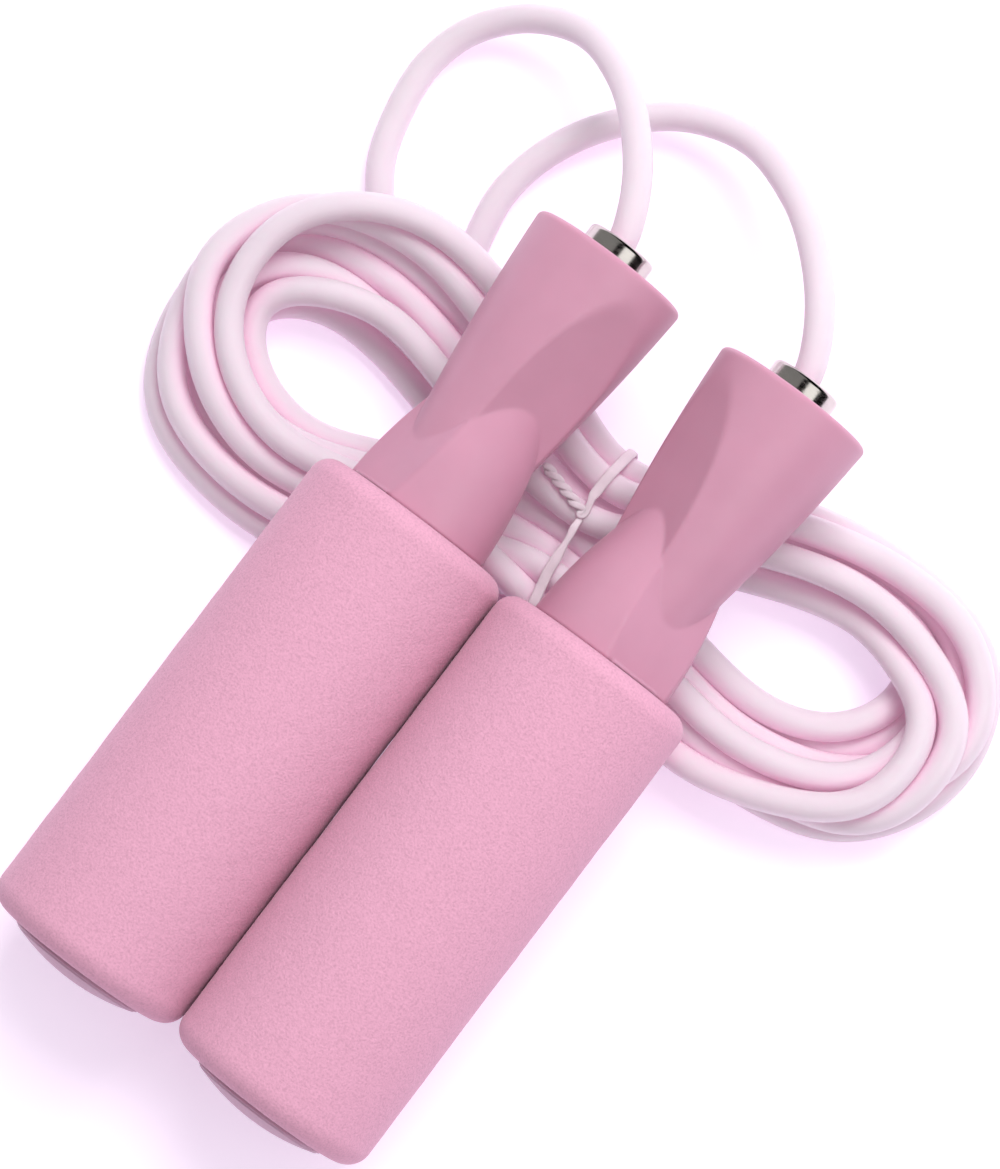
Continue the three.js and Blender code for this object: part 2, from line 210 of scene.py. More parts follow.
def line(start, end, steps):
    """Points evenly from start towards end, without the last one."""
    start, end = np.array(start), np.array(end)
    return [tuple(start + (end - start) * i / steps) for i in range(steps)]


def smooth_line(points, spacing):
    """A centripetal Catmull-Rom curve through points, cut into equal steps."""
    p = np.asarray(points, float)
    p = np.vstack([2 * p[0] - p[1], p, 2 * p[-1] - p[-2]])
    fine = 16  # samples between two points, before the cut into equal steps
    parts = []
    for p0, p1, p2, p3 in zip(p, p[1:], p[2:], p[3:]):
        t1 = np.linalg.norm(p1 - p0) ** 0.5
        t2 = t1 + np.linalg.norm(p2 - p1) ** 0.5
        t3 = t2 + np.linalg.norm(p3 - p2) ** 0.5
        t = np.linspace(t1, t2, fine, endpoint=False)[:, None]
        a1 = p0 + (p1 - p0) * t / t1
        a2 = p1 + (p2 - p1) * (t - t1) / (t2 - t1)
        a3 = p2 + (p3 - p2) * (t - t2) / (t3 - t2)
        b1 = a1 + (a2 - a1) * t / t2
        b2 = a2 + (a3 - a2) * (t - t1) / (t3 - t1)
        parts.append(b1 + (b2 - b1) * (t - t1) / (t2 - t1))
    parts.append(p[-2:-1])
    return even_steps(np.vstack(parts), spacing)


def length_along(points):
    """The distance from the first point to each point, along the line through them."""
    return np.concatenate([[0], np.cumsum(np.linalg.norm(np.diff(points, axis=0), axis=1))])


def even_steps(points, spacing):
    along = length_along(points)
    count = max(2, round(along[-1] / spacing) + 1)
    at = np.linspace(0, along[-1], count)
    return np.stack([np.interp(at, along, points[:, k]) for k in range(3)], axis=1)


# ---------- Camera ----------
# The view is nearly straight down, turned so that the handles lie from lower left to upper
# right, through a long lens.
LOOK_AT = Vector((-0.0021, 0.0187, 0.020))
VIEW_DISTANCE = 0.839
VIEW_AZIMUTH = math.radians(46.91)
VIEW_ELEVATION = math.radians(79.81)
VIEW_ROLL = math.radians(-9.58)
SENSOR = 36.0
LENS = 158.7


def make_camera():
    data = bpy.data.cameras.new("camera")
    data.sensor_width = SENSOR
    data.lens = LENS
    data.clip_start = 0.01
    camera = bpy.data.objects.new("camera", data)
    bpy.context.scene.collection.objects.link(camera)
    out = Vector((
        math.cos(VIEW_ELEVATION) * math.sin(VIEW_AZIMUTH),
        -math.cos(VIEW_ELEVATION) * math.cos(VIEW_AZIMUTH),
        math.sin(VIEW_ELEVATION),
    ))
    level = out.to_track_quat("Z", "Y").to_matrix().to_4x4()
    roll = Matrix.Rotation(VIEW_ROLL, 4, "Z")
    camera.matrix_world = Matrix.Translation(LOOK_AT + out * VIEW_DISTANCE) @ level @ roll
    bpy.context.scene.camera = camera


make_camera()


# ---------- The hank ----------
# Each turn of the hank runs clockwise, seen from above, between an inner and an outer rail:
# left loop, tie, right loop, tie, left loop. The rails are the lines that the middle of the
# innermost and of the outermost strand follow.
RAILS = {
    "left_up": ((-0.0250, 0.0375), (-0.0255, 0.0560)),
    "tie_up": ((0.0015, 0.0360), (0.0015, 0.0474)),
    "right_up": ((0.0220, 0.0450), (0.0235, 0.0573)),
    "right_top": ((0.0430, 0.0520), (0.0484, 0.0631)),
    "right_far": ((0.0545, 0.0490), (0.0662, 0.0593)),
    "right_end": ((0.0592, 0.0420), (0.0729, 0.0450)),
    "right_near": ((0.0548, 0.0345), (0.0668, 0.0261)),
    "right_low": ((0.0424, 0.0295), (0.0456, 0.0175)),
    "right_in": ((0.0220, 0.0320), (0.0240, 0.0196)),
    "tie_low": ((0.0015, 0.0330), (0.0015, 0.0211)),
    "left_in": ((-0.0260, 0.0260), (-0.0264, 0.0096)),
    "left_low": ((-0.0460, 0.0200), (-0.0498, 0.0049)),
    "left_near": ((-0.0600, 0.0245), (-0.0690, 0.0125)),
    "left_end": ((-0.0656, 0.0330), (-0.0757, 0.0340)),
    "left_far": ((-0.0605, 0.0405), (-0.0684, 0.0511)),
    "left_top": ((-0.0460, 0.0423), (-0.0489, 0.0602)),
}
# How each turn is laid at ten places: on the right loop's upper run, far corner, end, near
# corner and lower run, then on the left loop's lower run, near corner, end, far corner and
# upper run. Each is (share of the way from the inner rail to the outer, layer from the floor).
LAY = [
    ((0.74, 2), (0.75, 2), (0.75, 1), (0.56, 1), (0.40, 1),
     (0.13, 2), (0.30, 2), (0.60, 2), (0.30, 2), (0.20, 2)),
    ((0.22, 1), (0.38, 1), (0.10, 1), (0.05, 1), (0.04, 2),
     (-0.03, 1), (-0.03, 1), (0.00, 1), (0.00, 2), (0.16, 3)),
    ((0.26, 3), (0.38, 3), (0.91, 3), (1.12, 2), (0.94, 2),
     (0.80, 2), (0.90, 2), (1.00, 2), (0.90, 2), (0.66, 2)),
    ((0.62, 1), (0.66, 1), (0.40, 1), (0.30, 1), (0.22, 1),
     (0.30, 1), (0.30, 1), (0.25, 2), (0.10, 1), (-0.05, 1)),
    ((0.10, 2), (0.10, 3), (0.53, 3), (0.97, 3), (1.02, 3),
     (0.17, 3), (0.17, 3), (0.35, 3), (0.85, 3), (1.00, 3)),
    ((1.00, 1), (1.05, 1), (1.08, 1), (0.98, 1), (0.90, 1),
     (0.97, 1), (1.10, 1), (1.05, 1), (0.70, 1), (0.40, 2)),
    ((0.34, 2), (0.42, 2), (0.53, 2), (0.62, 2), (0.62, 2),
     (0.47, 2), (0.45, 3), (0.97, 3), (0.95, 3), (0.82, 2)),
    ((0.82, 3), (0.90, 2), (1.10, 2), (0.78, 1), (0.62, 1),
     (0.63, 1), (0.60, 1), (0.45, 1), (0.45, 1), (0.50, 1)),
]
FIRST_LAY = (0.5, 1)
LAYER = 4.4 * MM
# How the leads join the hank, under its upper left corner.
FIRST_TURN_FROM = [(-0.0540, 0.0535, 0.0030), (-0.0440, 0.0508, 0.0068)]
LAST_TURN_TO = [
    (-0.0610, 0.0430, 0.0026), (-0.0510, 0.0490, 0.0026), (-0.0440, 0.0540, 0.0026),
    (-0.0416, 0.0590, 0.0026),
]
ROPE_STEP = 2.5 * MM
JOIN = 1  # steps of each lead that settle with the hank

TIE_X = 1.5 * MM
TIE_NEAR_Y = 20.9 * MM  # the middles of the strands that the tie pulls in
TIE_FAR_Y = 47.6 * MM
TIE_TOP_Z = 11.4 * MM
TIE_THICKNESS = 0.8 * MM


def on_rails(station, lay):
    inner, outer = np.array(RAILS[station])
    share, layer = lay
    x, y = inner + (outer - inner) * share
    return (x, y, ROPE_R + (layer - 1) * LAYER)


def midway(a, b):
    return tuple((p + q) / 2 for p, q in zip(a, b))


def hank_route():
    """Points of all the turns, one after the other."""
    route = []
    last = FIRST_LAY
    for turn, lays in enumerate(LAY):
        r_up, r_far, r_end, r_near, r_low, l_low, l_near, l_end, l_far, l_up = lays
        stations = [
            ("left_up", last), ("tie_up", midway(last, r_up)), ("right_up", r_up),
            ("right_top", r_up), ("right_far", r_far), ("right_end", r_end),
            ("right_near", r_near), ("right_low", r_low), ("right_in", r_low),
            ("tie_low", midway(r_low, l_low)), ("left_in", l_low), ("left_low", l_low),
            ("left_near", l_near), ("left_end", l_end),
        ]
        # The last turn leaves the left loop here, for the right lead.
        if turn < len(LAY) - 1:
            stations += [("left_far", l_far), ("left_top", l_up)]
        route += [on_rails(station, lay) for station, lay in stations]
        last = l_up
    return route


def turning_radius(y):
    """The radius that a turning handle sweeps at each y along its axis, 0 beyond its ends."""
    height = y - WAIST_Y
    neck = np.where(height > 0, curve_at(UPPER_PETAL, height), curve_at(LOWER_PETAL, -height))
    swept = np.where(y < GRIP_LENGTH, GRIP_R, np.where(y < NECK_TOP_Y, neck, RACE_R))
    return np.where((y < 0) | (y > RACE_TOP_Y), 0, swept)


def press_under_handles(points, free):
    """Moves the rope down to where it is clear of the turning handles."""
    clearance = 0.35 * MM
    ease = 0.7  # the share of the way that one call moves it
    across_rope = (-0.95, -0.5, 0, 0.5, 0.95)
    for name in SIDES:
        direction, base = AXES[name]
        along = (points - base) @ direction
        # A strand that crosses an edge of the handle touches it before its middle is there.
        need = np.zeros(len(points))
        for part in across_rope:
            reach = ROPE_R * math.sqrt(1 - part * part) + clearance
            swept = turning_radius(along + part * ROPE_R)
            need = np.maximum(need, np.where(swept > 0, swept + reach, 0))
        beside = np.abs(points[:, 0] - base[0])
        middle = base[2] + along * direction[2]
        limit = middle - np.sqrt(np.maximum(need ** 2 - beside ** 2, 0)) / direction[1]
        high = free & (beside < need) & (points[:, 2] > limit)
        points[high, 2] -= ease * (points[high, 2] - limit[high])


def bend_off(points, reach):
    """From each point to the middle between the two that are reach steps before and after it."""
    bend = np.zeros_like(points)
    middle = (points[:-2 * reach] + points[2 * reach:]) / 2
    bend[reach:-reach] = middle - points[reach:-reach]
    return bend


def hold_in_tie(points, free):
    """Keeps the strands inside the tie, and in an even curve to both sides of it."""
    reach, curve = 9 * MM, 20 * MM
    beside = np.abs(points[:, 0] - TIE_X)
    held = free & (beside < reach)
    slack = beside[held] ** 2 / (2 * curve)
    points[held, 1] = np.clip(points[held, 1], TIE_NEAR_Y - slack, TIE_FAR_Y + slack)
    bottom = ROPE_R + TIE_THICKNESS - slack
    points[held, 2] = np.clip(points[held, 2], bottom, TIE_TOP_Z + slack)


def settle(route, free):
    """Lets the strands of the hank settle on the floor and on each other, kept near the lay
    that they start from, bent as evenly as it, and held by the tie."""
    rounds, push_rounds, smooth_rounds = 700, 3, 6
    near, near_every = 1.5 * ROPE_D, 6  # strands this near may touch in the next few rounds
    spread = 4  # steps along the rope to the far bend, and to the nearest other strand
    keep, straighten, straighten_far, smooth = 0.03, 0.35, 0.06, 0.5
    fall, late = 0.03 * MM, 0.75 * rounds
    late_fall = 0.35 * fall
    points = route.copy()
    lay = route.copy()
    lay[:, 2] = 0
    loose = free[:, None]
    lay_bend = bend_off(lay, 1)
    lay_bend_far = bend_off(lay, spread)
    for count in range(rounds):
        if count % near_every == 0:
            gap = ((points[:, None] - points[None]) ** 2).sum(-1)
            first, second = np.nonzero(np.triu(gap < near ** 2, spread))
        move = straighten * (bend_off(points, 1) - lay_bend)
        move += straighten_far * (bend_off(points, spread) - lay_bend_far)
        move[:, :2] += keep * (lay[:, :2] - points[:, :2])
        move[:, 2] -= fall if count < late else late_fall
        points += move * loose
        for _ in range(push_rounds):
            part_strands(points, first, second, free)
            press_under_handles(points, free)
            hold_in_tie(points, free)
            points[free, 2] = np.maximum(points[free, 2], ROPE_R)
    for _ in range(smooth_rounds):
        points += smooth * bend_off(points, 1) * loose
    return points


def part_strands(points, first, second, free):
    """Pushes strands that lie in each other apart, each by its share."""
    eager = 1.2  # the share of the overlap that one call takes away
    apart = points[second] - points[first]
    distance = np.linalg.norm(apart, axis=1)
    close = distance < ROPE_D
    a, b = first[close], second[close]
    push = apart[close] / distance[close, None] * ((ROPE_D - distance[close]) / 2)[:, None]
    total = np.zeros_like(points)
    pushes = np.zeros(len(points))
    np.add.at(total, a, -push * np.where(free[b], 1, 2)[:, None])
    np.add.at(total, b, push * np.where(free[a], 1, 2)[:, None])
    np.add.at(pushes, a, 1)
    np.add.at(pushes, b, 1)
    total /= np.maximum(pushes, 1)[:, None]
    points += eager * total * free[:, None]


def lead_line(name, route):
    """A lead's centreline, from its ferrule through the bearing to the hank."""
    inside = [axis_point(name, ROPE_END_Y), axis_point(name, RACE_BOTTOM_Y)]
    return smooth_line([*inside, rope_mouth(name), *route], ROPE_STEP)


def rope_line():
    """The rope's whole centreline, from the left ferrule to the right one."""
    left = lead_line("left", LEFT_LEAD)
    right = lead_line("right", RIGHT_LEAD)
    turns = smooth_line(
        [LEFT_LEAD[-2], LEFT_LEAD[-1], *FIRST_TURN_FROM, *hank_route(),
         *LAST_TURN_TO, RIGHT_LEAD[-1], RIGHT_LEAD[-2]],
        ROPE_STEP,
    )
    # The turns start and end on the leads' last steps, and those doubled steps are cut off.
    doubled = 20  # more steps than the doubled part has
    start = np.linalg.norm(turns[:doubled] - left[-1], axis=1).argmin()
    end = np.linalg.norm(turns[-doubled:] - right[-1], axis=1).argmin() + len(turns) - doubled
    turns = turns[start + 1:end]
    route = np.vstack([left, turns, right[::-1]])
    free = np.zeros(len(route), bool)
    free[len(left) - JOIN:len(left) + len(turns) + JOIN] = True
    route = settle(route, free)
    return route, free


def rope_curve(route):
    data = bpy.data.curves.new("rope", "CURVE")
    data.dimensions = "3D"
    data.bevel_depth = ROPE_R
    data.bevel_resolution = 8
    data.resolution_u = 3
    data.use_fill_caps = True
    spline = data.splines.new("BEZIER")
    spline.bezier_points.add(len(route) - 1)
    for point, place in zip(spline.bezier_points, route):
        point.co = place
        point.handle_left_type = "AUTO"
        point.handle_right_type = "AUTO"
    rope = bpy.data.objects.new("rope", data)
    bpy.context.scene.collection.objects.link(rope)
    return rope


ROPE_ROUTE, IN_HANK = rope_line()
rope = rope_curve(ROPE_ROUTE)


# ---------- Materials ----------
def material(name, colour, roughness, metallic=0.0):
    """A new principled material, its node tree and its shader node."""
    made = bpy.data.materials.new(name)
    made.use_nodes = True
    tree = made.node_tree
    shader = tree.nodes["Principled BSDF"]
    shader.inputs["Base Color"].default_value = (*colour, 1)
    shader.inputs["Roughness"].default_value = roughness
    shader.inputs["Metallic"].default_value = metallic
    return made, tree, shader


def noise(tree, scale, detail, stretch=None):
    """A noise texture with a feature size of about 1 / scale metres."""
    place = tree.nodes.new("ShaderNodeTexCoord")
    texture = tree.nodes.new("ShaderNodeTexNoise")
    texture.inputs["Scale"].default_value = scale
    texture.inputs["Detail"].default_value = detail
    source = place.outputs["Object"]
    if stretch is not None:
        mapping = tree.nodes.new("ShaderNodeMapping")
        mapping.inputs["Scale"].default_value = stretch
        tree.links.new(source, mapping.inputs["Vector"])
        source = mapping.outputs["Vector"]
    tree.links.new(source, texture.inputs["Vector"])
    return texture.outputs["Fac"]


def ramp(tree, source, stops):
    """A colour ramp over (position, colour) stops; a number stands for a grey."""
    node = tree.nodes.new("ShaderNodeValToRGB")
    elements = node.color_ramp.elements
    while len(elements) < len(stops):
        elements.new(0.5)
    for element, (position, value) in zip(elements, stops):
        colour = (value, value, value) if isinstance(value, (int, float)) else value
        element.position = position
        element.color = (*colour, 1)
    tree.links.new(source, node.inputs["Fac"])
    return node.outputs["Color"]


def bump(tree, shader, height, distance):
    """Adds a bump of the given depth in metres on top of any bump the shader already has."""
    node = tree.nodes.new("ShaderNodeBump")
    node.inputs["Distance"].default_value = distance
    node.inputs["Strength"].default_value = 1.0
    tree.links.new(height, node.inputs["Height"])
    normal = shader.inputs["Normal"]
    if normal.is_linked:
        tree.links.new(normal.links[0].from_socket, node.inputs["Normal"])
    tree.links.new(node.outputs["Normal"], normal)


def tint(colour, factor):
    return tuple(min(1.0, part * factor) for part in colour)


def foam_material():
    colour = (0.65, 0.33, 0.45)
    made, tree, shader = material("foam", colour, 0.9)
    shader.inputs["Specular IOR Level"].default_value = 0.25
    shader.inputs["Sheen Weight"].default_value = 0.25
    shader.inputs["Sheen Roughness"].default_value = 0.5
    shader.inputs["Sheen Tint"].default_value = (1, 0.85, 0.95, 1)
    cells = noise(tree, 2600, 4)
    tree.links.new(ramp(tree, cells, [
        (0.30, tint(colour, 0.86)), (0.50, colour), (0.70, tint(colour, 1.09)),
    ]), shader.inputs["Base Color"])
    bump(tree, shader, noise(tree, 300, 2), 0.00006)
    bump(tree, shader, cells, 0.00012)
    return made


def plastic_material(name, colour, roughness):
    made, tree, shader = material(name, colour, roughness)
    shader.inputs["Subsurface Weight"].default_value = 0.25
    shader.inputs["Subsurface Radius"].default_value = (1.0, 0.5, 0.6)
    shader.inputs["Subsurface Scale"].default_value = 0.0012
    mottle = noise(tree, 90, 3)
    tree.links.new(ramp(tree, mottle, [
        (0.3, tint(colour, 0.97)), (0.7, tint(colour, 1.03)),
    ]), shader.inputs["Base Color"])
    grain = noise(tree, 4200, 2)
    tree.links.new(ramp(tree, grain, [
        (0.3, roughness - 0.05), (0.7, roughness + 0.05),
    ]), shader.inputs["Roughness"])
    bump(tree, shader, mottle, 0.00004)
    bump(tree, shader, grain, 0.000006)
    return made


def rope_material():
    """Pale, slightly clear PVC, painted lighter and pinker where strands lie close together: there
    its colour turns a deeper pink and it glows faintly, a painted shade and glow that stand in for
    light that comes through the strands and bounces between them.
    """
    made, tree, shader = material("rope", (0.72, 0.59, 0.67), 0.36)
    shader.inputs["Subsurface Weight"].default_value = 1.0
    shader.inputs["Subsurface Radius"].default_value = (1.0, 0.8, 0.9)
    shader.inputs["Subsurface Scale"].default_value = 0.0022
    shader.inputs["Coat Weight"].default_value = 0.15
    shader.inputs["Coat Roughness"].default_value = 0.35
    # How closed in each point is among the strands; this drives the painted shade and the painted
    # glow below.
    painted_light_mask = tree.nodes.new("ShaderNodeAmbientOcclusion")
    painted_light_mask.samples = 6
    painted_light_mask.inputs["Distance"].default_value = 0.006
    # Painted shade: the base colour turns a deeper pink where strands lie close together.
    depth = ramp(tree, painted_light_mask.outputs["AO"], [
        (0.00, (0.80, 0.52, 0.66)), (0.30, (0.80, 0.57, 0.69)),
        (0.65, (0.77, 0.61, 0.70)), (1.00, (0.71, 0.63, 0.685)),
    ])
    # Painted glow: the rope glows faintly in the gaps between strands, most where they lie closest,
    # standing in for the light that comes through the strands into the gaps between them.
    shader.inputs["Emission Strength"].default_value = 1.0
    tree.links.new(ramp(tree, painted_light_mask.outputs["AO"], [
        (0.00, (0.09, 0.070, 0.083)), (0.30, (0.06, 0.045, 0.055)),
        (0.65, (0.015, 0.012, 0.014)), (1.00, 0.0),
    ]), shader.inputs["Emission Color"])
    # A faint random mottle over the painted crevice colour.
    mottle = tree.nodes.new("ShaderNodeMixRGB")
    mottle.blend_type = "MULTIPLY"
    mottle.inputs["Fac"].default_value = 1.0
    tree.links.new(depth, mottle.inputs["Color1"])
    tree.links.new(ramp(tree, noise(tree, 70, 3), [(0.3, 0.97), (0.7, 1.0)]),
                   mottle.inputs["Color2"])
    tree.links.new(mottle.outputs["Color"], shader.inputs["Base Color"])
    tree.links.new(ramp(tree, noise(tree, 900, 3), [(0.3, 0.31), (0.7, 0.43)]),
                   shader.inputs["Roughness"])
    bump(tree, shader, noise(tree, 260, 2), 0.00005)
    return made


def metal_material(name, colour, roughness):
    """Turned metal, with fine rings round the handle's axis."""
    made, tree, shader = material(name, colour, roughness, 1.0)
    rings = noise(tree, 400, 2, stretch=(1, 12, 1))
    tree.links.new(ramp(tree, rings, [
        (0.3, roughness * 0.7), (0.7, roughness * 1.5),
    ]), shader.inputs["Roughness"])
    tree.links.new(ramp(tree, noise(tree, 500, 3), [
        (0.3, tint(colour, 0.93)), (0.7, colour),
    ]), shader.inputs["Base Color"])
    bump(tree, shader, rings, 0.000002)
    return made


def tie_material():
    colour = (0.72, 0.63, 0.68)
    made, tree, shader = material("tie", colour, 0.45)
    shader.inputs["Subsurface Weight"].default_value = 0.3
    shader.inputs["Subsurface Radius"].default_value = (1.0, 0.8, 0.9)
    shader.inputs["Subsurface Scale"].default_value = 0.0008
    crinkle = noise(tree, 1500, 3)
    tree.links.new(ramp(tree, noise(tree, 300, 3), [
        (0.3, tint(colour, 0.92)), (0.7, tint(colour, 1.05)),
    ]), shader.inputs["Base Color"])
    bump(tree, shader, crinkle, 0.00003)
    return made


FOAM = foam_material()
HANDLE_PLASTIC = plastic_material("handle_plastic", (0.54, 0.265, 0.365), 0.42)
CAP_PLASTIC = plastic_material("cap_plastic", (0.49, 0.28, 0.385), 0.45)
ROPE_PVC = rope_material()
NICKEL = metal_material("nickel", (0.62, 0.585, 0.55), 0.17)
STEEL = metal_material("steel", (0.60, 0.60, 0.61), 0.22)
NYLON = plastic_material("cage_nylon", (0.55, 0.52, 0.46), 0.5)
TIE = tie_material()


# ---------- Handles ----------
SEGMENTS = 288


def smooth_min(a, b, blend):
    """The smaller of a and b, rounded off over the given blend."""
    share = np.clip(0.5 + 0.5 * (b - a) / blend, 0, 1)
    return b + (a - b) * share - blend * share * (1 - share)


def smooth_max(a, b, blend):
    return -smooth_min(-a, -b, blend)


def neck_radius(y, angle):
    """The neck's radius at a height and at angles from the handle's own +Z."""
    ridge, scoop = 0.4 * MM, 0.15 * MM
    thinnest = 1 * MM
    never_zero = 1e-3
    height = y - WAIST_Y
    across = np.maximum(np.abs(np.cos(angle)), never_zero)
    along = np.maximum(np.abs(np.sin(angle)), never_zero)
    upper_flat = curve_at(UPPER_FLAT, height) / across
    lower_flat = curve_at(LOWER_FLAT, -height) / along
    upper = smooth_min(curve_at(UPPER_PETAL, height), upper_flat, ridge)
    lower = smooth_min(curve_at(LOWER_PETAL, -height), lower_flat, ridge)
    return np.maximum(smooth_max(upper, lower, scoop), thinnest)


def handle_body(name):
    """The moulding: down its bore, round the core's open end, up the core, out over the neck's
    foot, up the neck, over its rim and down to the bearing's seat."""
    rim, edge, edge_gap = 1 * MM, 0.25 * MM, 0.05 * MM
    seat = RACE_R + FIT
    seat_y = RACE_BOTTOM_Y - FIT
    foot_y = GRIP_LENGTH + 0.03 * MM
    ledge_y = GRIP_LENGTH + 2 * FIT
    rim_y = NECK_TOP_Y - rim
    taper = 4 * MM
    taper_top, taper_bottom = GRIP_LENGTH + taper, GRIP_LENGTH - taper
    bore_and_core = [
        *line((PASSAGE_R, seat_y), (PASSAGE_R, taper_top), 12),
        *line((PASSAGE_R, taper_top), (CORE_BORE_R, taper_bottom), 8),
        *line((CORE_BORE_R, taper_bottom), (CORE_BORE_R, FIT + edge), 24),
        *corner(CORE_BORE_R + edge, FIT + edge, edge, 180, 270, 3),
        *corner(CORE_R - edge, FIT + edge, edge, 270, 360, 3),
        *line((CORE_R, FIT + 2 * edge), (CORE_R, foot_y), 24),
    ]
    seat_profile = [
        *line((seat + edge + 2 * MM, NECK_TOP_Y), (seat + edge, NECK_TOP_Y), 2),
        *corner(seat + edge, NECK_TOP_Y - edge, edge, 90, 180, 3),
        *line((seat, NECK_TOP_Y - 2 * edge), (seat, seat_y), 6),
        *line((seat, seat_y), (PASSAGE_R, seat_y), 3),
    ]
    angle = full_turn(SEGMENTS)
    foot = np.maximum(neck_radius(ledge_y, angle), CORE_R)
    rows = [*around(bore_and_core, SEGMENTS)]
    rows += [ring(CORE_R, foot_y, angle), ring(foot, foot_y, angle), ring(foot, ledge_y, angle)]
    for y in np.linspace(ledge_y + edge_gap, rim_y, 112):
        rows.append(ring(neck_radius(y, angle), y, angle))
    top = neck_radius(rim_y, angle)
    for turn in np.radians(np.linspace(0, 90, 8)[1:]):
        rows.append(ring(top - rim + rim * math.cos(turn), rim_y + rim * math.sin(turn), angle))
    rows += [*around(seat_profile, SEGMENTS)]
    return grid_object(f"{name}_body", np.array(rows), profile_closed=True)


def soft_noise(points, size, seed):
    """Smooth pseudo-random values between -1 and 1 with features of about the given size."""
    count, usual_peak = 24, 1.5
    rng = np.random.default_rng(seed)
    waves = rng.normal(size=(count, 3)) * (2 * math.pi / size) * 0.6
    phases = rng.uniform(0, 2 * math.pi, count)
    return np.sin(points @ waves.T + phases).sum(axis=-1) / count ** 0.5 / usual_peak


def foam_grip(name, seed):
    """A foam sleeve with soft rounded ends and a slightly uneven surface."""
    bottom, top, lip = 4 * MM, 3.4 * MM, 0.6 * MM
    inner = CORE_R + FIT
    proud = 0.07  # mm that the surface stands out, more than the swell ever takes away
    profile = [
        *line((GRIP_R, bottom), (GRIP_R, GRIP_LENGTH - top), 130),
        *corner(GRIP_R - top, GRIP_LENGTH - top, top, 0, 90, 14),
        *corner(inner + lip, GRIP_LENGTH - lip, lip, 90, 180, 5),
        *line((inner, GRIP_LENGTH - 2 * lip), (inner, 2 * lip), 30),
        *corner(inner + lip, lip, lip, 180, 270, 5),
        *corner(GRIP_R - bottom, bottom, bottom, 270, 359, 14),
    ]
    grid = around(profile, SEGMENTS)
    flat = grid.reshape(-1, 3)
    away = np.hypot(flat[:, 0], flat[:, 2])
    outside = np.clip((away - (inner + 1 * MM)) / (2 * MM), 0, 1)
    swell = 0.05 * soft_noise(flat, 14 * MM, seed) + 0.03 * soft_noise(flat, 4 * MM, seed + 1)
    flat[:, [0, 2]] *= (1 + outside * (swell + proud) * MM / away)[:, None]
    return grid_object(f"{name}_foam", grid, profile_closed=True)


def end_cap(name):
    """A domed cap with a thin flange, on a hollow spigot."""
    rim, dome, edge, flange = 0.8 * MM, 2.1 * MM, 0.2 * MM, 0.5 * MM
    spigot_length, wall = 14 * MM, 1.2 * MM
    spigot_bore_r = SPIGOT_R - 1.5 * MM
    dome_r = (CAP_R ** 2 + dome ** 2) / (2 * dome)
    centre_y = dome_r - rim - dome
    reach = math.degrees(math.asin((CAP_R - flange) / dome_r))
    profile = [
        *corner(0, centre_y, dome_r, -90, -90 + reach, 24),
        (CAP_R - flange + 0.05 * MM, -rim + 0.12 * MM),
        *corner(CAP_R - edge, -rim + edge + 0.08 * MM, edge, -80, 0, 4),
        *corner(CAP_R - edge, -edge, edge, 0, 90, 3),
        (SPIGOT_R, 0),
        *line((SPIGOT_R, 0.4 * MM), (SPIGOT_R, spigot_length - edge), 10),
        *corner(SPIGOT_R - edge, spigot_length - edge, edge, 0, 90, 3),
        *corner(spigot_bore_r + edge, spigot_length - edge, edge, 90, 180, 3),
        *line((spigot_bore_r, spigot_length - 2 * edge), (spigot_bore_r, wall), 8),
        *line((spigot_bore_r, wall), (0, wall), 6),
        (0, wall),
    ]
    profile[0] = (0, profile[0][1])
    return grid_object(f"{name}_cap_piece", around(profile, 160), profile_closed=False)


def outer_race(name):
    """The polished ring, with a lip over the balls at each end."""
    rounding, edge, lip = 0.8 * MM, 0.15 * MM, 0.6 * MM
    track_r = 5.2 * MM
    profile = [
        *corner(RACE_BORE_R + edge, RACE_BOTTOM_Y + edge, edge, 180, 270, 3),
        *corner(RACE_R - edge, RACE_BOTTOM_Y + edge, edge, 270, 360, 3),
        *line((RACE_R, RACE_BOTTOM_Y + 2 * edge), (RACE_R, RACE_TOP_Y - rounding), 12),
        *corner(RACE_R - rounding, RACE_TOP_Y - rounding, rounding, 0, 90, 12),
        *corner(RACE_BORE_R + edge, RACE_TOP_Y - edge, edge, 90, 180, 3),
        (RACE_BORE_R, RACE_TOP_Y - lip + edge),
        *corner(RACE_BORE_R + edge, RACE_TOP_Y - lip + edge, edge, 180, 270, 2),
        (track_r, RACE_TOP_Y - lip),
        *raceway(track_r, 1),
        (track_r, RACE_BOTTOM_Y + lip),
        (RACE_BORE_R, RACE_BOTTOM_Y + lip),
    ]
    return grid_object(f"{name}_race", around(profile, 144), profile_closed=True)


def raceway(track_r, side):
    """The groove that the balls run in, from top to bottom on the outer race (side 1) and from
    bottom to top on the inner ring (side -1)."""
    pitch_r, groove_r = 4.7 * MM, 1 * MM
    half = math.degrees(math.acos(abs(track_r - pitch_r) / groove_r))
    if side > 0:
        return corner(pitch_r, BEARING_Y, groove_r, half, -half, 10)
    return corner(pitch_r, BEARING_Y, groove_r, 180 + half, 180 - half, 10)


